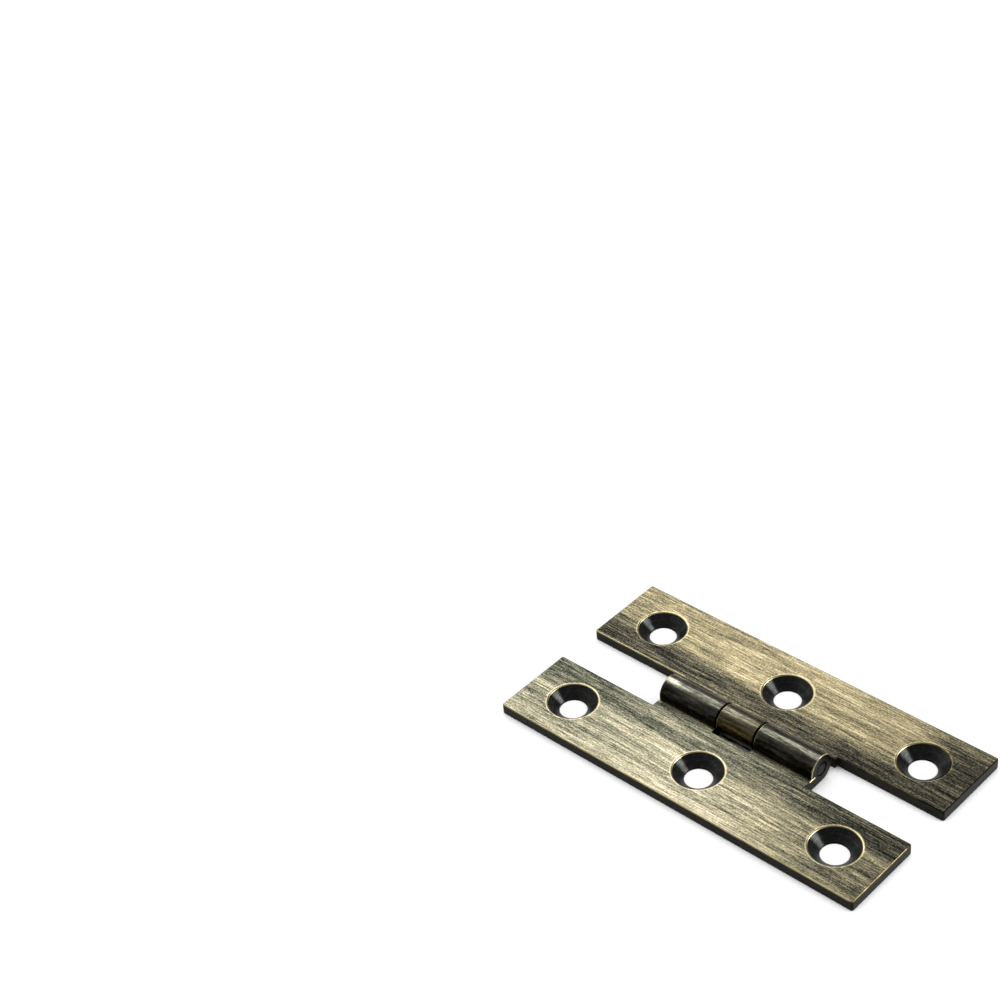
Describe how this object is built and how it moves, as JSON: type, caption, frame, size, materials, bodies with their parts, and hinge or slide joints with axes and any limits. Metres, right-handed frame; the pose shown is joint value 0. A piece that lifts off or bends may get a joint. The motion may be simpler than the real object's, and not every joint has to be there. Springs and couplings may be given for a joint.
{
  "type": "h hinge",
  "caption": "Flat H-shaped surface hinge with rolled knuckles on a plain pin and countersunk screw holes along both leaves.",
  "frame": {"origin": "middle of the open hinge on the plane of the leaves' backs, straight under the pin", "axes": "+X along the pin, +Y across the hinge towards the rear leaf, +Z from the backs of the leaves to their fronts"},
  "size_m": [0.064, 0.035, 0.0047],
  "materials": {
    "leaf_brass": "antiqued brass, brushed along the length of the leaves",
    "pin_brass": "dark antiqued brass"
  },
  "bodies": {
    "fixed_leaf": {"front_leaf": "leaf_brass", "hinge_pin": "pin_brass"},
    "swinging_leaf": {"rear_leaf": "leaf_brass"}
  },
  "joints": [
    {"name": "leaf_fold", "type": "hinge", "parent": "fixed_leaf", "child": "swinging_leaf", "pos_m": [0, 0, 0.00235], "axis": [1, 0, 0], "range_deg": [-106, 183.5]}
  ]
}
